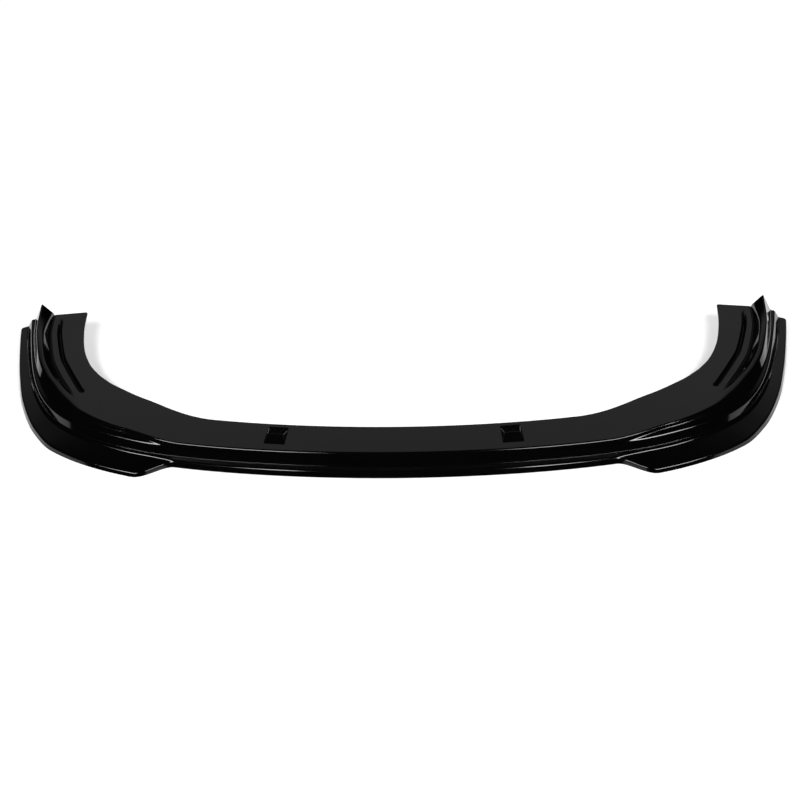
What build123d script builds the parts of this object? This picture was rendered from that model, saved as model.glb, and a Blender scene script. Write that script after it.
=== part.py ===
from build123d import *
import math
import os

# Front bumper lip: one formed sheet with a flange, a front face, a lip, two lobes and two wings.
# Millimetres. +X runs across the car, +Y to the rear, +Z up, and the lip's lower edge rests on Z = 0.
# Lengths along the part run along the guide line, the foot of its front face, from the middle.

# Sheet
wall = 4.0
flange_height = 46.0

# Guide line in plan: length and turn in degrees of each stretch, from the middle to the wing's end
bow_length = 430.0
bow_turn = 10.4
shoulder_length = 140.0
shoulder_turn = 10.2
corner_front_length = 120.0
corner_front_turn = 13.9
corner_rear_length = 120.0
corner_rear_turn = 23.3
wing_front_length = 120.0
wing_front_turn = 11.9
wing_rear_length = 190.0
wing_rear_turn = 8.0
end_cut_turn = 5.0
end_corner_radius = 6.0

# Lip along the bow
lip_height = 9.4
lip_depth = 3.1
lip_toe = 4.5
lip_toe_drop = 8.4

# Lobe that swings out of the lip at each shoulder and runs on as the wing's blade
lobe_gap = 10.0
lobe_swing = 70.0
lobe_height = 8.0
lobe_depth = 47.5
lobe_toe = 5.5
lobe_toe_drop = 6.0
blade_end_height = 18.5
blade_end_depth = 15.0
blade_end_toe = 2.5
blade_end_drop = 0.5
edge_draft = 4.0

# Front face, and the ledge that opens out of it towards the wings
foot_height = 21.0
foot_shelf = 1.2
ledge_height = 39.0

# Fin, valley, rib and groove on each wing
fin_rise = 33.0
fin_ease = 1.8
crest_fall = 28.0
crest_fall_ease = 2.5
valley_depth = 5.0
valley_step = 2.5
groove_end_gap = 12.0
groove_ramp = 9.0
groove_fade = 70.0
groove_width = 10.5
groove_depth = 9.5
groove_draft = 5.0

# Roundings of the folds
fold_round = 3.0
crest_round = 4.0
groove_round = 1.2
shelf_round = 0.25
round_share = 0.45

# Ramp bosses on the flange
boss_position = 240.0
boss_front_gap = 21.0
boss_width = 42.0
boss_length = 51.0
boss_height = 11.0
boss_front_run = 17.0
boss_side_run = 5.0
boss_edge = 1.5
hollow_run_out = 1.0

# Spacing of the sections that the sheet is drawn through
bow_spacing = 48.0
wing_spacing = 24.0
lobe_spacing = 7.0
groove_spacing = 3.0
end_spacing = 2.0

# Stations along the guide line
bow_end = bow_length
shoulder_end = bow_end + shoulder_length
corner_middle = shoulder_end + corner_front_length
fin_root = corner_middle + corner_rear_length / 2
corner_end = corner_middle + corner_rear_length
wing_root = corner_end + wing_front_length / 2
wing_middle = corner_end + wing_front_length
tip_root = wing_middle + wing_rear_length / 2
wing_end = wing_middle + wing_rear_length
lobe_start = bow_end + lobe_gap
lobe_full = lobe_start + lobe_swing
groove_full = fin_root + groove_ramp
groove_end = wing_end - groove_end_gap
end_corner = wing_end - end_corner_radius
stations = (
    0.0, bow_end, shoulder_end, corner_middle, fin_root,
    corner_end, wing_root, wing_middle, tip_root, wing_end,
)

# Plan widths of the strips between folds at those stations, from the guide line inwards
riser_widths = (6.6, 6.2, 12.0, 7.5, 5.0, 4.0, 5.5, 7.5, 10.5, 11.0)
ledge_widths = (1.8, 1.7, 12.0, 11.0, 10.0, 10.5, 10.0, 8.0, 6.0, 9.0)
face_widths = (3.3, 3.1, 3.5, 16.5, 25.5, 23.0, 14.0, 9.5, 12.0, 22.0)
crest_widths = (11.0, 11.0, 11.0, 11.0, 11.0, 12.0, 10.5, 10.5, 13.0, 20.5)
slope_widths = (6.0, 6.0, 6.0, 6.0, 6.5, 9.0, 16.5, 17.5, 12.5, 2.0)
rib_widths = (11.0, 11.0, 11.0, 11.0, 11.5, 14.0, 14.5, 13.5, 12.5, 9.0)

# Depth of the rear edge behind the guide line, and how far before the shoulder it begins to flare
rear_depths = (93.0, 94.2, 127.0, 135.8, 135.5, 130.8, 125.2, 123.3, 128.5, 139.5)
flare_lead = 45.0

# Strips outwards from the guide line, from the shoulder to the wing's end, and heights at the stations
toe_widths = (lobe_toe, 6.0, 6.0, 5.0, 4.0, blade_end_toe, blade_end_toe, blade_end_toe)
blade_widths = (lobe_depth, 46.5, 37.2, 30.0, 25.5, 22.0, 17.5, blade_end_depth)
ledge_drops = (3.5, 3.5, 3.5, 3.2, 3.0, 2.8, 2.6, 2.2, 1.6, 1.2)
valley_shares = (0.0, 0.0, 0.0, 0.0, 0.0, 0.6, 1.0, 1.0, 0.9, 0.25)


def smooth_line(places, values, start_level=True):
    """A curve through the values that never overshoots them, level beyond the last place."""
    gaps = [b - a for a, b in zip(places, places[1:])]
    rates = [(b - a) / gap for a, b, gap in zip(values, values[1:], gaps)]
    slopes = [0.0 if start_level else rates[0]]
    for before, after in zip(rates, rates[1:]):
        slopes.append(2 * before * after / (before + after) if before * after > 0 else 0.0)
    slopes.append(rates[-1])

    def value_at(place):
        if place <= places[0]:
            return values[0]
        if place >= places[-1]:
            return values[-1]
        i = max(k for k, start in enumerate(places[:-1]) if start <= place)
        t = (place - places[i]) / gaps[i]
        bend = (1 + 2 * t) * (1 - t) ** 2 * values[i] + t * t * (3 - 2 * t) * values[i + 1]
        return bend + gaps[i] * (t * (1 - t) ** 2 * slopes[i] - t * t * (1 - t) * slopes[i + 1])

    return value_at


def ramp(place, start, length):
    """Soft rise from 0 at the start to 1 after the length."""
    t = min(max((place - start) / length, 0.0), 1.0)
    return t * t * (3 - 2 * t)


def share(place, start, end):
    """Straight rise from 0 at the start to 1 at the end."""
    return min(max((place - start) / (end - start), 0.0), 1.0)


turns = (bow_turn, shoulder_turn, corner_front_turn, corner_rear_turn, wing_front_turn, wing_rear_turn)
turn_places = (0.0, bow_end, shoulder_end, corner_middle, corner_end, wing_middle, wing_end)
heading = smooth_line(turn_places, [sum(turns[:i]) for i in range(len(turns) + 1)], start_level=False)
riser_width = smooth_line(stations, riser_widths)
ledge_width = smooth_line(stations, ledge_widths)
face_width = smooth_line(stations, face_widths)
crest_width = smooth_line(stations, crest_widths)
slope_width = smooth_line(stations, slope_widths)
rib_width = smooth_line(stations, rib_widths)
rear_depth = smooth_line((0.0, bow_end - flare_lead) + stations[2:], rear_depths)
toe_width = smooth_line(stations[2:], toe_widths)
blade_width = smooth_line(stations[2:], blade_widths)
ledge_drop = smooth_line(stations, ledge_drops)
valley_share = smooth_line(stations, valley_shares)


def guide_line(step=1.0):
    """Plan points along the guide line, found by adding up short steps along its heading."""
    points = [Vector(0, 0)]
    for i in range(math.ceil(wing_end / step) + 1):
        angle = math.radians(heading((i + 0.5) * step))
        points.append(points[-1] + Vector(math.cos(angle), math.sin(angle)) * step)

    def point_at(place):
        i = int(place / step)
        return points[i] + (points[i + 1] - points[i]) * (place / step - i)

    return point_at


guide_point = guide_line()


def end_inset(place):
    """How far the round corners at the wing's end pull the sheet's two edges in."""
    into = min(max(0.0, place - end_corner), end_corner_radius)
    return end_corner_radius - math.sqrt(end_corner_radius ** 2 - into ** 2)


def top_line(place):
    """Folds of the sheet's upper face as (distance outwards, height, rounding), rear edge first."""
    lobe = ramp(place, lobe_start, lobe_swing)
    to_end = share(place, shoulder_end, wing_end)
    fin = fin_rise * share(place, corner_middle, wing_end) ** fin_ease
    fall = crest_fall * share(place, wing_middle, wing_end) ** crest_fall_ease
    groove = groove_depth * ramp(place, fin_root, groove_ramp)
    groove *= 1 - ramp(place, groove_end - groove_fade, groove_fade)
    valley = valley_depth * valley_share(place)
    blade_drop = lobe_toe_drop + (blade_end_drop - lobe_toe_drop) * to_end
    toe_drop = lip_toe_drop + (blade_drop - lip_toe_drop) * lobe
    toe = lip_toe + (toe_width(place) - lip_toe) * lobe
    blade = lip_depth + (blade_width(place) - lip_depth) * lobe
    edge_height = lip_height + (lobe_height + (blade_end_height - lobe_height) * to_end - lip_height) * lobe

    ledge_outer = -riser_width(place)
    ledge_inner = ledge_outer - ledge_width(place)
    crest_outer = ledge_inner - face_width(place)
    crest_inner = crest_outer - crest_width(place)
    valley_foot = crest_inner - slope_width(place)
    rib_outer = valley_foot - valley_step
    groove_outer = rib_outer - rib_width(place)
    groove_inner = groove_outer - groove_width
    rear = end_inset(place) - rear_depth(place)
    edge = toe + blade - end_inset(place)
    return [
        (rear, flange_height, 0.0),
        (groove_inner, flange_height, groove_round),
        (groove_inner + groove_draft, flange_height - groove, groove_round),
        (groove_outer - groove_draft, flange_height - groove, groove_round),
        (groove_outer, flange_height, groove_round),
        (rib_outer, flange_height, groove_round),
        (valley_foot, flange_height - valley, groove_round),
        (crest_inner, flange_height + fin - fall, crest_round),
        (crest_outer, flange_height + fin, crest_round),
        (ledge_inner, ledge_height, fold_round),
        (ledge_outer, ledge_height - ledge_drop(place), fold_round),
        (0.0, foot_height, fold_round),
        (foot_shelf, foot_height, shelf_round),
        (toe, foot_height - toe_drop, fold_round),
        (edge, edge_height, fold_round),
        (edge + edge_draft, 0.0, 0.0),
    ]


def under_line(folds):
    """The same folds one wall below, each where its two offset strips meet, and the foot cut level."""
    ways = []
    for (u0, z0, _), (u1, z1, _) in zip(folds, folds[1:]):
        length = math.hypot(u1 - u0, z1 - z0)
        ways.append(((u1 - u0) / length, (z1 - z0) / length))
    below = [(folds[0][0], folds[0][1] - wall, 0.0)]
    for (u, z, rounding), (au, az), (bu, bz) in zip(folds[1:], ways, ways[1:]):
        reach = wall / (1 + au * bu + az * bz)
        below.append((u + reach * (az + bz), z - reach * (au + bu), rounding))
    foot_u, foot_z, _ = below[-1]
    run, fall = ways[-1]
    below.append((foot_u - foot_z * run / fall, 0.0, 0.0))
    return below


def rounded_edges(folds, lift):
    """Straight strips with a curved fold between each two, placed in space by lift(u, z)."""
    points = [Vector(u, z) for u, z, _ in folds]
    edges = []
    start = points[0]
    for before, fold, after, (_, _, rounding) in zip(points, points[1:], points[2:], folds[1:]):
        back, ahead = before - fold, after - fold
        cut = min(rounding, round_share * back.length, round_share * ahead.length)
        enter = fold + back.normalized() * cut
        leave = fold + ahead.normalized() * cut
        edges.append(Edge.make_line(lift(start), lift(enter)))
        edges.append(Edge.make_bezier(lift(enter), lift(fold), lift(leave)))
        start = leave
    edges.append(Edge.make_line(lift(start), lift(points[-1])))
    return edges


def rung(place, side):
    """Guide point and outward direction in plan on the given side, +1 right and -1 left."""
    point = guide_point(place)
    cut = end_cut_turn * ramp(place, wing_middle, wing_end - wing_middle)
    angle = math.radians(heading(place) + cut)
    return Vector(side * point.X, point.Y), Vector(side * math.sin(angle), -math.cos(angle))


def section(place, side):
    """Closed outline of the sheet, cut upright across the part at one place."""
    origin, outward = rung(place, side)

    def lift(point):
        return origin + outward * point.X + Vector(0, 0, point.Y)

    top = top_line(place)
    under = under_line(top)
    edges = rounded_edges(top, lift) + rounded_edges(under, lift)
    for a, b in ((top[-1], under[-1]), (top[0], under[0])):
        edges.append(Edge.make_line(lift(Vector(a[0], a[1])), lift(Vector(b[0], b[1]))))
    return Wire(edges)


def spread(start, end, gap):
    """Evenly spaced places from the start to the end."""
    count = max(2, round((end - start) / gap))
    return [start + (end - start) * i / count for i in range(count + 1)]


def corner_spread():
    """Places along the wing's round end corners, at even turns of the corner."""
    count = max(2, round(end_corner_radius * math.pi / 2 / end_spacing))
    turns_done = [math.pi / 2 * i / count for i in range(count + 1)]
    return [end_corner + end_corner_radius * math.sin(turn) for turn in turns_done]


def boss_wedge(inset, depth):
    """Ramp with its faces set in by the inset, its base the depth below the flange's upper face."""
    rear_run = boss_length - boss_front_run
    front = inset / math.sin(math.atan2(boss_height, boss_front_run)) - depth * boss_front_run / boss_height
    rear = inset / math.sin(math.atan2(boss_height, rear_run)) - depth * rear_run / boss_height
    side = inset / math.sin(math.atan2(boss_height, boss_side_run)) - depth * boss_side_run / boss_height
    scale = (boss_length - front - rear) / boss_length
    half = boss_width / 2 - side
    crest_half = half - boss_side_run * scale
    crest_back = front + boss_front_run * scale
    crest_height = boss_height * scale - depth
    a, b = (-half, front, -depth), (half, front, -depth)
    c, d = (half, boss_length - rear, -depth), (-half, boss_length - rear, -depth)
    e, f = (-crest_half, crest_back, crest_height), (crest_half, crest_back, crest_height)
    faces = [(d, c, b, a), (a, b, f, e), (c, d, e, f), (b, c, f), (d, a, e)]
    return Solid(Shell([Face(Wire.make_polygon(corners)) for corners in faces]))


def boss_plane(side):
    """Place of a ramp boss: front edge of its base on the flange, its length to the rear."""
    origin, outward = rung(boss_position, side)
    gap = riser_width(boss_position) + ledge_width(boss_position) + face_width(boss_position) + boss_front_gap
    front = origin - outward * gap + Vector(0, 0, flange_height)
    return Plane(front, x_dir=Vector(-outward.Y, outward.X), z_dir=(0, 0, 1))


# Bow: the middle of the sheet, with a hollow ramp boss on each side
bow_places = spread(-lobe_start, lobe_start, bow_spacing)
bow = Solid.make_loft([section(abs(place), math.copysign(1, place)) for place in bow_places])
ramp_outer = boss_wedge(0.0, wall / 2)
ramp_outer = fillet([edge for edge in ramp_outer.edges() if edge.center().Z > 0], boss_edge)
ramp_hollow = boss_wedge(wall, wall + hollow_run_out)
bosses = [boss_plane(side) * ramp_outer for side in (-1, 1)]
hollows = [boss_plane(side) * ramp_hollow for side in (-1, 1)]
bow = bow + bosses - hollows
boss_reach = boss_position + boss_width

# Shoulder, corner and wing on each side, in stretches that meet at shared sections
stretches = [
    spread(lobe_start, lobe_full, lobe_spacing),
    spread(lobe_full, fin_root, wing_spacing),
    spread(fin_root, groove_full, groove_spacing),
    spread(groove_full, end_corner, wing_spacing),
    corner_spread(),
]
skins = [face for face in bow.faces() if face.geom_type != GeomType.PLANE or abs(face.center().X) < boss_reach]
for side in (-1, 1):
    for stretch in stretches:
        skins += Shell.make_loft([section(place, side) for place in stretch]).faces()
    skins.append(Face(section(wing_end, side)))
spoiler = Solid(Shell(skins))
box = spoiler.bounding_box()
spoiler = Pos(0, -box.center().Y, -box.min.Z) * spoiler

os.makedirs("parts", exist_ok=True)
export_step(spoiler, "parts/bumper_spoiler.step")
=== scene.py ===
import math
import bpy
import numpy as np
from mathutils import Matrix, Vector


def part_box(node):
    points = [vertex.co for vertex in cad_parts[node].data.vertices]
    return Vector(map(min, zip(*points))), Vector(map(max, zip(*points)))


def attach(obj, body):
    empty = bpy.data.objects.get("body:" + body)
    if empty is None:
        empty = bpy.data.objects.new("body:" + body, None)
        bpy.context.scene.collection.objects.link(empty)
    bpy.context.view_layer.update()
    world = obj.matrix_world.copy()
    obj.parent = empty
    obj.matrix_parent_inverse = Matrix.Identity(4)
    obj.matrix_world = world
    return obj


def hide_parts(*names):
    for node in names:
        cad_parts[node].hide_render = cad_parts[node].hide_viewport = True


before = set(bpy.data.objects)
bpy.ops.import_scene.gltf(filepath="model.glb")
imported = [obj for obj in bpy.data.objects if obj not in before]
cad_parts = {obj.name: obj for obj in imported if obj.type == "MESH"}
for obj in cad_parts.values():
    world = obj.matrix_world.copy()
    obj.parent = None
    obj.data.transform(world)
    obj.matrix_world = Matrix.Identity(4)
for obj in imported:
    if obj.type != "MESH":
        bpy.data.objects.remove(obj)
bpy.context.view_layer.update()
partLow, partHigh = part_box("bumper_spoiler")
mm = 0.001
print("frame loaded, spoiler spans", [round(v, 4) for v in partHigh - partLow])

# Sheet in millimetres: u runs outwards from the guide line, z up, and places run along the guide line
sheet = {
    "wall": 4.0,
    "flangeHeight": 46.0,
    "stretchLengths": (430.0, 140.0, 120.0, 120.0, 120.0, 190.0),
    "stretchTurns": (10.4, 10.2, 13.9, 23.3, 11.9, 8.0),
    "endCutTurn": 5.0,
    "endCornerRadius": 6.0,
    "lipHeight": 9.4, "lipDepth": 3.1, "lipToe": 4.5, "lipToeDrop": 8.4,
    "lobeGap": 10.0, "lobeSwing": 70.0, "lobeHeight": 8.0, "lobeToeDrop": 6.0,
    "bladeEndHeight": 18.5, "bladeEndDrop": 0.5, "edgeDraft": 4.0,
    "footHeight": 21.0, "footShelf": 1.2, "ledgeHeight": 39.0,
    "finRise": 33.0, "finEase": 1.8, "crestFall": 28.0, "crestFallEase": 2.5,
    "valleyDepth": 5.0, "valleyStep": 2.5,
    "grooveEndGap": 12.0, "grooveRamp": 9.0, "grooveFade": 70.0,
    "grooveWidth": 10.5, "grooveDepth": 9.5, "grooveDraft": 5.0,
    "flareLead": 45.0,
    "foldRound": 3.0, "crestRound": 4.0, "grooveRound": 1.2, "shelfRound": 0.25, "edgeRound": 0.9, "roundShare": 0.45,
    # widths of the strips at the ten stations, guide line inwards
    "riserWidths": (6.6, 6.2, 12.0, 7.5, 5.0, 4.0, 5.5, 7.5, 10.5, 11.0),
    "ledgeWidths": (1.8, 1.7, 12.0, 11.0, 10.0, 10.5, 10.0, 8.0, 6.0, 9.0),
    "faceWidths": (3.3, 3.1, 3.5, 16.5, 25.5, 23.0, 14.0, 9.5, 12.0, 22.0),
    "crestWidths": (11.0, 11.0, 11.0, 11.0, 11.0, 12.0, 10.5, 10.5, 13.0, 20.5),
    "slopeWidths": (6.0, 6.0, 6.0, 6.0, 6.5, 9.0, 16.5, 17.5, 12.5, 2.0),
    "ribWidths": (11.0, 11.0, 11.0, 11.0, 11.5, 14.0, 14.5, 13.5, 12.5, 9.0),
    "rearDepths": (93.0, 94.2, 127.0, 135.8, 135.5, 130.8, 125.2, 123.3, 128.5, 139.5),
    "ledgeDrops": (3.5, 3.5, 3.5, 3.2, 3.0, 2.8, 2.6, 2.2, 1.6, 1.2),
    "valleyShares": (0.0, 0.0, 0.0, 0.0, 0.0, 0.6, 1.0, 1.0, 0.9, 0.25),
    # strips outwards from the guide line, shoulder to wing end
    "toeWidths": (5.5, 6.0, 6.0, 5.0, 4.0, 2.5, 2.5, 2.5),
    "bladeWidths": (47.5, 46.5, 37.2, 30.0, 25.5, 22.0, 17.5, 15.0),
}

# Ramp bosses on the flange, in millimetres
boss = {
    "position": 240.0, "frontGap": 21.0, "width": 42.0, "length": 51.0, "height": 11.0,
    "frontRun": 17.0, "sideRun": 5.0, "edgeSoft": 0.45, "baseSoft": 0.3, "reach": 27.0,
    # below this height the softened base counts as flat, and above the cap it is left as it is
    "flatBelow": -8.0, "softCap": 60.0,
    # room kept between the boss and the folded front, and around the boss, and the least lift that counts
    "frontRoom": 10.0, "sideRoom": 2.0, "leastLift": 1e-4,
}

# Spacing of the sections along the guide line, and points across each fold and strip
meshing = {
    "bowGap": 12.0, "bossSideGap": 1.2, "bossMiddleGap": 4.0, "bossSideBand": 12.0,
    "shoulderGap": 9.0, "lobeGap": 3.6, "cornerGap": 5.0, "grooveGap": 0.75, "wingGap": 4.5,
    "cornerSteps": 7, "endSteps": 4,
    "foldPoints": 4,
    # inner points of each strip of the upper face, rear edge first
    "stripPoints": (14, 1, 1, 1, 6, 1, 2, 3, 2, 1, 2, 0, 1, 4, 1),
}


def smoothLine(places, values, s, levelStart=True):
    # cubic through the values; the slope at each is the harmonic mean of the rates beside it, or level at a turn
    places, values = np.asarray(places, float), np.asarray(values, float)
    gaps = np.diff(places)
    rates = np.diff(values) / gaps
    before, after = rates[:-1], rates[1:]
    sameWay = before * after > 0
    inner = np.where(sameWay, 2 * before * after / np.where(sameWay, before + after, 1), 0)
    slopes = np.concatenate([[0 if levelStart else rates[0]], inner, rates[-1:]])
    s = np.clip(s, places[0], places[-1])
    i = np.clip(np.searchsorted(places, s, side="right") - 1, 0, len(gaps) - 1)
    t = (s - places[i]) / gaps[i]
    bend = (1 + 2 * t) * (1 - t) ** 2 * values[i] + t * t * (3 - 2 * t) * values[i + 1]
    return bend + gaps[i] * (t * (1 - t) ** 2 * slopes[i] - t * t * (1 - t) * slopes[i + 1])


def share(s, start, end):
    # straight rise from 0 at the start to 1 at the end
    return np.clip((s - start) / (end - start), 0, 1)


def softRise(s, start, length):
    # rise from 0 to 1 that leaves and arrives level
    t = share(s, start, start + length)
    return t * t * (3 - 2 * t)


def spread(start, end, gap):
    # even places from the start up to, but not at, the end
    return np.linspace(start, end, max(2, round((end - start) / gap)), endpoint=False)


stretchEnds = np.concatenate([[0], np.cumsum(sheet["stretchLengths"])])
bowEnd, shoulderEnd, cornerMiddle, cornerEnd, wingMiddle, wingEnd = stretchEnds[1:]
finRoot = (cornerMiddle + cornerEnd) / 2
stations = np.array([
    0, bowEnd, shoulderEnd, cornerMiddle, finRoot, cornerEnd,
    (cornerEnd + wingMiddle) / 2, wingMiddle, (wingMiddle + wingEnd) / 2, wingEnd,
])
lobeStart = bowEnd + sheet["lobeGap"]
lipReach = sheet["lipToe"] + sheet["lipDepth"] + sheet["edgeDraft"]
grooveEnd = wingEnd - sheet["grooveEndGap"]


def heading(s):
    # plan heading in radians: the turns of the stretches added up, run through smoothly
    turned = np.concatenate([[0], np.cumsum(sheet["stretchTurns"])])
    return np.radians(smoothLine(stretchEnds, turned, s, levelStart=False))


def guidePoint(s):
    # plan point at each place: one-millimetre steps along the heading, added up
    middles = np.arange(0, wingEnd + 2) + 0.5
    x = np.concatenate([[0], np.cumsum(np.cos(heading(middles)))])
    y = np.concatenate([[0], np.cumsum(np.sin(heading(middles)))])
    return np.interp(s, np.arange(len(x)), x), np.interp(s, np.arange(len(y)), y)


def outwardWay(s, side):
    # plan direction across the sheet, turned a little further towards the end cut
    cut = np.radians(sheet["endCutTurn"]) * softRise(s, wingMiddle, wingEnd - wingMiddle)
    angle = heading(s) + cut
    return np.stack([side * np.sin(angle), -np.cos(angle)], -1)


def cornerInset(s, radius):
    # how far a round corner of that radius at the wing's end pulls an edge in
    into = np.clip(s - (wingEnd - radius), 0, radius)
    return radius - np.sqrt(radius ** 2 - into ** 2)


def upperFolds(s):
    # folds of the upper face as u and z for each place, rear edge first, with the rounding of each
    d = sheet
    lobe = softRise(s, lobeStart, d["lobeSwing"])
    toEnd = share(s, shoulderEnd, wingEnd)
    fin = d["finRise"] * share(s, cornerMiddle, wingEnd) ** d["finEase"]
    fall = d["crestFall"] * share(s, wingMiddle, wingEnd) ** d["crestFallEase"]
    groove = d["grooveDepth"] * softRise(s, finRoot, d["grooveRamp"])
    groove = groove * (1 - softRise(s, grooveEnd - d["grooveFade"], d["grooveFade"]))
    valley = d["valleyDepth"] * smoothLine(stations, d["valleyShares"], s)
    drop = smoothLine(stations, d["ledgeDrops"], s)
    bladeDrop = d["lobeToeDrop"] + (d["bladeEndDrop"] - d["lobeToeDrop"]) * toEnd
    toeDrop = d["lipToeDrop"] + (bladeDrop - d["lipToeDrop"]) * lobe
    toe = d["lipToe"] + (smoothLine(stations[2:], d["toeWidths"], s) - d["lipToe"]) * lobe
    blade = d["lipDepth"] + (smoothLine(stations[2:], d["bladeWidths"], s) - d["lipDepth"]) * lobe
    bladeHeight = d["lobeHeight"] + (d["bladeEndHeight"] - d["lobeHeight"]) * toEnd
    edgeHeight = d["lipHeight"] + (bladeHeight - d["lipHeight"]) * lobe
    level = np.full_like(s, d["flangeHeight"])

    ledgeOuter = -smoothLine(stations, d["riserWidths"], s)
    ledgeInner = ledgeOuter - smoothLine(stations, d["ledgeWidths"], s)
    crestOuter = ledgeInner - smoothLine(stations, d["faceWidths"], s)
    crestInner = crestOuter - smoothLine(stations, d["crestWidths"], s)
    valleyFoot = crestInner - smoothLine(stations, d["slopeWidths"], s)
    ribOuter = valleyFoot - d["valleyStep"]
    grooveOuter = ribOuter - smoothLine(stations, d["ribWidths"], s)
    grooveInner = grooveOuter - d["grooveWidth"]
    rearPlaces = np.concatenate([[0, bowEnd - d["flareLead"]], stations[2:]])
    inset = cornerInset(s, d["endCornerRadius"])
    rear = inset - smoothLine(rearPlaces, d["rearDepths"], s)
    edge = toe + blade - inset
    folds = [
        (rear, level, d["edgeRound"]),
        (grooveInner, level, d["grooveRound"]),
        (grooveInner + d["grooveDraft"], level - groove, d["grooveRound"]),
        (grooveOuter - d["grooveDraft"], level - groove, d["grooveRound"]),
        (grooveOuter, level, d["grooveRound"]),
        (ribOuter, level, d["grooveRound"]),
        (valleyFoot, level - valley, d["grooveRound"]),
        (crestInner, level + fin - fall, d["crestRound"]),
        (crestOuter, level + fin, d["crestRound"]),
        (ledgeInner, np.full_like(s, d["ledgeHeight"]), d["foldRound"]),
        (ledgeOuter, d["ledgeHeight"] - drop, d["foldRound"]),
        (np.zeros_like(s), np.full_like(s, d["footHeight"]), d["foldRound"]),
        (np.full_like(s, d["footShelf"]), np.full_like(s, d["footHeight"]), d["shelfRound"]),
        (toe, d["footHeight"] - toeDrop, d["foldRound"]),
        (edge, edgeHeight, d["foldRound"]),
        (edge + d["edgeDraft"], np.zeros_like(s), d["edgeRound"]),
    ]
    points = np.stack([np.stack([u, z], -1) for u, z, _ in folds], 1)
    return points, np.array([rounding for _, _, rounding in folds])


def lowerFolds(upper):
    # the same folds one wall below, each where its two offset strips meet, and the foot cut level
    ways = np.diff(upper, axis=1)
    ways /= np.linalg.norm(ways, axis=2, keepdims=True)
    before, after = ways[:, :-1], ways[:, 1:]
    reach = sheet["wall"] / (1 + (before * after).sum(2))
    both = before + after
    middle = upper[:, 1:-1] + reach[..., None] * np.stack([both[..., 1], -both[..., 0]], -1)
    rear = upper[:, :1] - np.array([0, sheet["wall"]])
    last, way = middle[:, -1], ways[:, -1]
    foot = last - way * (last[:, 1:] / way[:, 1:])
    return np.concatenate([rear, middle, foot[:, None]], 1)


def roundedRing(corners, roundings, foldPoints, stripPoints):
    # closed profile: a quadratic curve at each corner and straight strips between, with unit tangents
    back = np.roll(corners, 1, axis=1) - corners
    ahead = np.roll(corners, -1, axis=1) - corners
    backLength = np.linalg.norm(back, axis=2, keepdims=True)
    aheadLength = np.linalg.norm(ahead, axis=2, keepdims=True)
    limit = sheet["roundShare"] * np.minimum(backLength, aheadLength)
    cut = np.minimum(roundings[None, :, None], limit)
    enter = corners + back / backLength * cut
    leave = corners + ahead / aheadLength * cut
    points, tangents = [], []
    for k, count in enumerate(foldPoints):
        t = np.linspace(0, 1, count)[None, :, None]
        a, b, c = enter[:, k, None], corners[:, k, None], leave[:, k, None]
        points.append((1 - t) ** 2 * a + 2 * t * (1 - t) * b + t * t * c)
        tangents.append((1 - t) * (b - a) + t * (c - b))
        following = enter[:, (k + 1) % len(foldPoints), None]
        t = np.linspace(0, 1, stripPoints[k] + 2)[None, 1:-1, None]
        points.append(c + t * (following - c))
        tangents.append(np.broadcast_to(following - c, points[-1].shape))
    points, tangents = np.concatenate(points, 1), np.concatenate(tangents, 1)
    return points, tangents / np.linalg.norm(tangents, axis=2, keepdims=True)


def sectionPlaces():
    # signed places of all sections, left wing end to right, closer together where the form turns quickly
    m = meshing
    outerBand, innerBand = boss["reach"], boss["reach"] - m["bossSideBand"]
    near, far = boss["position"] - outerBand, boss["position"] + outerBand
    nearInner, farInner = boss["position"] - innerBand, boss["position"] + innerBand
    lobeFull = lobeStart + sheet["lobeSwing"]
    grooveFull = finRoot + sheet["grooveRamp"]
    corner = wingEnd - sheet["endCornerRadius"]
    turn = np.linspace(0, np.pi / 2, m["cornerSteps"], endpoint=False)
    cornerPlaces = corner + sheet["endCornerRadius"] * np.sin(turn)
    roundTurn = np.linspace(0, np.pi / 2, m["endSteps"] + 1)
    roundPlaces = wingEnd - sheet["edgeRound"] * (1 - np.sin(roundTurn))
    half = np.concatenate([
        spread(0, near, m["bowGap"]), spread(near, nearInner, m["bossSideGap"]),
        spread(nearInner, farInner, m["bossMiddleGap"]), spread(farInner, far, m["bossSideGap"]),
        spread(far, lobeStart, m["shoulderGap"]), spread(lobeStart, lobeFull, m["lobeGap"]),
        spread(lobeFull, finRoot, m["cornerGap"]), spread(finRoot, grooveFull, m["grooveGap"]),
        spread(grooveFull, corner, m["wingGap"]), cornerPlaces[cornerPlaces < roundPlaces[0]], roundPlaces,
    ])
    return np.concatenate([-half[:0:-1], half])


def bossHeight(place, u, below):
    # lowest of the ramp's four sloping faces, softened where they meet and at the base; below gives the hollow
    b = boss
    strips = ("riserWidths", "ledgeWidths", "faceWidths")
    gaps = [smoothLine(stations, sheet[name], b["position"]) for name in strips]
    along = -u - (sum(gaps) + b["frontGap"])
    across = np.broadcast_to(place - b["position"], u.shape)
    rises = []
    for run, distance in (
        (b["frontRun"], along), (b["length"] - b["frontRun"], b["length"] - along),
        (b["sideRun"], b["width"] / 2 - across), (b["sideRun"], b["width"] / 2 + across),
    ):
        slope = b["height"] / run
        rises.append(distance * slope - below * (np.sqrt(1 + slope ** 2) - 1))
    lowest = np.min(rises, axis=0)
    soft = lowest - b["edgeSoft"] * np.log(sum(np.exp((lowest - rise) / b["edgeSoft"]) for rise in rises))
    held = np.clip(soft, b["flatBelow"], b["softCap"])
    return np.where(soft > b["flatBelow"], b["baseSoft"] * np.log1p(np.exp(held / b["baseSoft"])), 0)


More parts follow.
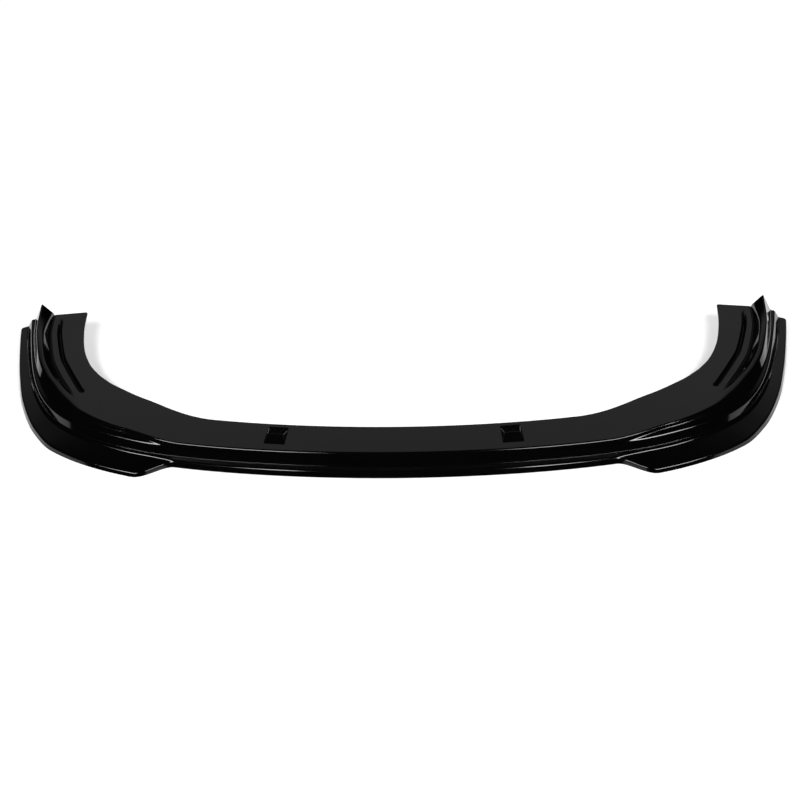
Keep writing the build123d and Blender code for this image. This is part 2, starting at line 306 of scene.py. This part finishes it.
def buildSheet():
    # the ring of each section carried along the guide line, with flat ends
    run = sectionPlaces()
    place, side = np.abs(run), np.where(run < 0, -1.0, 1.0)
    upper, roundings = upperFolds(place)
    lower = lowerFolds(upper)
    corners = np.concatenate([upper, lower[:, ::-1]], 1)
    foldPoints = [meshing["foldPoints"]] * 2 * len(roundings)
    stripPoints = list(meshing["stripPoints"]) + [0] + list(meshing["stripPoints"][::-1]) + [0]
    ring, tangent = roundedRing(corners, np.concatenate([roundings, roundings[::-1]]), foldPoints, stripPoints)
    ringNormal = np.stack([-tangent[..., 1], tangent[..., 0]], -1)
    ring = ring - cornerInset(place, sheet["edgeRound"])[:, None, None] * ringNormal
    u, z = ring[..., 0], ring[..., 1]

    # bosses lift the flat strip of the upper face, and hollow the lower face under it
    topCount = foldPoints[0] * len(roundings) + sum(meshing["stripPoints"])
    onTop = np.arange(u.shape[1]) < topCount
    nearBoss = np.abs(place - boss["position"]) < boss["reach"] + boss["sideRoom"]
    flat = nearBoss[:, None] & (u < -(sheet["crestWidths"][0] + sheet["faceWidths"][0] + boss["frontRoom"]))
    lift = np.where(onTop, bossHeight(place[:, None], u, 0.0), bossHeight(place[:, None], u, sheet["wall"]))
    lift = np.where(flat, lift, 0)
    z = z + lift

    px, py = guidePoint(place)
    way = outwardWay(place, side)
    spot = np.stack([side * px, py], -1)
    plan = spot[:, None] + way[:, None] * u[..., None]
    points = np.concatenate([plan, z[..., None]], -1)
    acrossWay = np.concatenate([way[:, None] * tangent[..., :1], tangent[..., 1:]], -1)
    alongWay = np.gradient(points, run, axis=0)
    normals = np.cross(acrossWay, alongWay)
    normals /= np.linalg.norm(normals, axis=2, keepdims=True)
    normals[0] = [way[0, 1], -way[0, 0], 0]
    normals[-1] = [-way[-1, 1], way[-1, 0], 0]
    # bosses take the normals that Blender works out from the mesh
    normals[lift > boss["leastLift"]] = 0

    rows, columns = u.shape
    index = np.arange(rows * columns).reshape(rows, columns)
    following = np.roll(index, -1, axis=1)
    quads = np.stack([index[:-1], following[:-1], following[1:], index[1:]], -1).reshape(-1, 4)
    over, under = np.arange(topCount - 1), columns - 1 - np.arange(topCount - 1)
    endStrip = np.stack([over, over + 1, under - 1, under], -1)
    quads = np.concatenate([quads, index[-1][endStrip], index[0][endStrip[:, ::-1]]])
    shift = np.array([0, partLow.y / mm + lipReach, 0])
    points = (points + shift) * mm
    return points.reshape(-1, 3), normals.reshape(-1, 3), quads


def addSheet():
    points, normals, quads = buildSheet()
    mesh = bpy.data.meshes.new("spoilerSheet")
    mesh.vertices.add(len(points))
    mesh.vertices.foreach_set("co", points.astype(np.float32).ravel())
    mesh.loops.add(quads.size)
    mesh.loops.foreach_set("vertex_index", quads.astype(np.int32).ravel())
    mesh.polygons.add(len(quads))
    mesh.polygons.foreach_set("loop_start", np.arange(0, quads.size, 4, dtype=np.int32))
    mesh.update(calc_edges=True)
    mesh.validate()
    mesh.polygons.foreach_set("use_smooth", np.ones(len(quads), bool))
    mesh.normals_split_custom_set_from_vertices(normals.tolist())
    piece = bpy.data.objects.new("spoilerSheet", mesh)
    bpy.context.scene.collection.objects.link(piece)
    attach(piece, "root")
    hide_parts("bumper_spoiler")
    print("sheet made,", len(quads), "faces")
    return piece


class Wire:
    # a socket that takes part in Python sums; each operator adds a Math node
    def __init__(self, tree, socket):
        self.tree, self.socket = tree, socket

    def math(self, operation, *values):
        node = self.tree.nodes.new("ShaderNodeMath")
        node.operation = operation
        for slotIn, value in zip(node.inputs, values):
            if isinstance(value, Wire):
                self.tree.links.new(value.socket, slotIn)
            else:
                slotIn.default_value = value
        return Wire(self.tree, node.outputs[0])

    def __add__(self, other):
        return self.math("ADD", self, other)

    def __radd__(self, other):
        return self.math("ADD", other, self)

    def __rsub__(self, other):
        return self.math("SUBTRACT", other, self)

    def __mul__(self, other):
        return self.math("MULTIPLY", self, other)

    def __rmul__(self, other):
        return self.math("MULTIPLY", other, self)

    def __pow__(self, other):
        return self.math("POWER", self, other)


class Shading:
    # one node tree, with a method for every other kind of node
    def __init__(self, tree):
        self.tree = tree
        tree.nodes.clear()

    def node(self, kind, settings=None, inputs=None):
        made = self.tree.nodes.new(kind)
        for name, value in (settings or {}).items():
            setattr(made, name, value)
        for name, value in (inputs or {}).items():
            if isinstance(value, Wire):
                self.tree.links.new(value.socket, made.inputs[name])
            elif isinstance(value, bpy.types.NodeSocket):
                self.tree.links.new(value, made.inputs[name])
            else:
                made.inputs[name].default_value = value
        return made

    def wire(self, socket):
        return Wire(self.tree, socket)

    def ramp(self, value, ends, low=0.0, high=1.0):
        # soft rise from low to high between the two ends
        made = self.node("ShaderNodeMapRange", {"interpolation_type": "SMOOTHSTEP"}, {
            "Value": value, "From Min": ends[0], "From Max": ends[1], "To Min": low, "To Max": high})
        return self.wire(made.outputs[0])


glossBlackFinish = {
    "deep": (0.0005, 0.0005, 0.00055, 1.0),
    "haze": (0.001, 0.001, 0.00105, 1.0),
    "hazeScale": 9.0, "hazeDetail": 4.0,
    "ior": 1.4,
    "roughness": 0.07,
    "smudge": 0.05,
    "smudgeScale": 14.0, "smudgeDetail": 6.0,
    "peelScale": 150.0, "peelDetail": 2.0,
    "peelStrength": 0.03,
    "peelDepth": 0.0003,
}


def glossBlack(finish):
    material = bpy.data.materials.new("glossBlackPlastic")
    material.use_nodes = True
    shade = Shading(material.node_tree)
    coords = shade.node("ShaderNodeTexCoord").outputs["Object"]
    noise = {name: shade.node("ShaderNodeTexNoise", inputs={
        "Vector": coords, "Scale": finish[name + "Scale"], "Detail": finish[name + "Detail"]}).outputs["Fac"]
        for name in ("haze", "smudge", "peel")}
    tone = shade.node("ShaderNodeMix", {"data_type": "RGBA"}, {
        0: noise["haze"], 6: finish["deep"], 7: finish["haze"]})
    rough = finish["roughness"] + finish["smudge"] * shade.wire(noise["smudge"]) ** 2
    bump = shade.node("ShaderNodeBump", inputs={
        "Height": noise["peel"], "Strength": finish["peelStrength"], "Distance": finish["peelDepth"]})
    skin = shade.node("ShaderNodeBsdfPrincipled", inputs={
        "Base Color": tone.outputs[2], "Roughness": rough, "Normal": bump.outputs["Normal"], "IOR": finish["ior"]})
    shade.node("ShaderNodeOutputMaterial", inputs={"Surface": skin.outputs[0]})
    return material


studio = {
    "floorSize": 40.0,
    "floorColour": (0.62, 0.62, 0.62, 1.0),
    "frontLift": 0.12,
    "rearLift": 0.82,
    "liftRun": (-0.7, 1.3),
    "farRun": (2.2, 4.5),
    "skyDark": 0.004,
    "skyRear": 0.42,
    "rearLow": (0.3, 0.62),
    "rearHigh": (0.66, 0.92),
    "rearSide": (0.52, 0.78),
    "softboxAzimuth": 45.0,
    "softboxElevation": 47.0,
    "softboxDistance": 3.2,
    "softboxSize": (2.1, 0.7),
    "softboxPower": 100.0,
}


def addFloor():
    half = studio["floorSize"] / 2
    mesh = bpy.data.meshes.new("floor")
    mesh.from_pydata([(-half, -half, 0), (half, -half, 0), (half, half, 0), (-half, half, 0)], [], [(0, 1, 2, 3)])
    floor = bpy.data.objects.new("floor", mesh)
    bpy.context.scene.collection.objects.link(floor)
    material = bpy.data.materials.new("paleFloor")
    material.use_nodes = True
    shade = Shading(material.node_tree)
    ray = shade.node("ShaderNodeLightPath").outputs
    seen = shade.wire(ray["Is Camera Ray"]) + shade.wire(ray["Is Glossy Ray"]) + shade.wire(ray["Is Transmission Ray"])
    matt = shade.node("ShaderNodeBsdfDiffuse", inputs={"Color": studio["floorColour"]})
    coords = shade.node("ShaderNodeTexCoord").outputs["Object"]
    parts = shade.node("ShaderNodeSeparateXYZ", inputs={"Vector": coords}).outputs
    away = shade.node("ShaderNodeVectorMath", {"operation": "LENGTH"}, {0: coords}).outputs["Value"]
    behind = shade.ramp(parts["Y"], studio["liftRun"], studio["frontLift"], studio["rearLift"])
    far = shade.ramp(away, studio["farRun"], studio["frontLift"], studio["rearLift"])
    lift = shade.node("ShaderNodeEmission", inputs={"Strength": behind.math("MAXIMUM", behind, far)})
    lit = shade.node("ShaderNodeAddShader", inputs={0: matt.outputs[0], 1: lift.outputs[0]})
    mix = shade.node("ShaderNodeMixShader", inputs={
        0: seen.math("MINIMUM", seen, 1.0), 1: matt.outputs[0], 2: lit.outputs[0]})
    shade.node("ShaderNodeOutputMaterial", inputs={"Surface": mix.outputs[0]})
    mesh.materials.append(material)


def addWorld():
    # grey towards the rear at the height that the flange mirrors, dark overhead and in front
    world = bpy.data.worlds.new("studio")
    bpy.context.scene.world = world
    world.use_nodes = True
    shade = Shading(world.node_tree)
    way = shade.node("ShaderNodeTexCoord").outputs["Generated"]
    parts = shade.node("ShaderNodeSeparateXYZ", inputs={"Vector": way}).outputs
    height = shade.ramp(parts["Z"], studio["rearLow"]) * (1 - shade.ramp(parts["Z"], studio["rearHigh"]))
    rise = studio["skyDark"] + studio["skyRear"] * height * shade.ramp(parts["Y"], studio["rearSide"])
    glow = shade.node("ShaderNodeBackground", inputs={"Strength": rise, "Color": (1, 1, 1, 1)})
    shade.node("ShaderNodeOutputWorld", inputs={"Surface": glow.outputs[0]})


def addSoftbox(name, side):
    azimuth, height = math.radians(studio["softboxAzimuth"]), math.radians(studio["softboxElevation"])
    spot = studio["softboxDistance"] * Vector((
        side * math.sin(azimuth) * math.cos(height), -math.cos(azimuth) * math.cos(height), math.sin(height)))
    lamp = bpy.data.lights.new(name, "AREA")
    lamp.shape = "RECTANGLE"
    lamp.size, lamp.size_y = studio["softboxSize"]
    lamp.energy = studio["softboxPower"]
    box = bpy.data.objects.new(name, lamp)
    box.location = spot
    box.rotation_euler = (-spot).to_track_quat("-Z", "Y").to_euler()
    bpy.context.scene.collection.objects.link(box)


# Camera: the plan point it aims at lies this far behind the guide line's foot
shot = {
    "elevation": 38.0, "distance": 2.6, "lens": 55.1, "roll": -2.24, "yaw": -2.71,
    "aside": -0.0071, "aimBehindFoot": 0.238, "sensor": 36.0, "farthest": 200.0,
}


def addCamera():
    e, roll = math.radians(shot["elevation"]), math.radians(shot["roll"])
    back = Vector((0, -math.cos(e), math.sin(e)))
    level = Vector((1, 0, 0))
    upright = back.cross(level)
    right = math.cos(roll) * level + math.sin(roll) * upright
    up = -math.sin(roll) * level + math.cos(roll) * upright
    turn = Matrix.Rotation(math.radians(-shot["yaw"]), 3, "Z")
    spot = turn @ (shot["distance"] * back - Vector((shot["aside"], 0, 0)))
    footFront = partLow.y + lipReach * mm
    spot += Vector((0, footFront + shot["aimBehindFoot"], 0))
    axes = [turn @ axis for axis in (right, up, back)]
    camera = bpy.data.cameras.new("camera")
    camera.lens = shot["lens"]
    camera.sensor_width = shot["sensor"]
    camera.clip_end = shot["farthest"]
    holder = bpy.data.objects.new("camera", camera)
    holder.matrix_world = Matrix((
        (axes[0].x, axes[1].x, axes[2].x, spot.x), (axes[0].y, axes[1].y, axes[2].y, spot.y),
        (axes[0].z, axes[1].z, axes[2].z, spot.z), (0, 0, 0, 1)))
    bpy.context.scene.collection.objects.link(holder)
    bpy.context.scene.camera = holder


spoiler = addSheet()
spoiler.data.materials.append(glossBlack(glossBlackFinish))
addFloor()
addWorld()
addSoftbox("softboxLeft", -1)
addSoftbox("softboxRight", 1)
addCamera()
bpy.context.scene.view_settings.view_transform = "Standard"
print("studio and camera set")
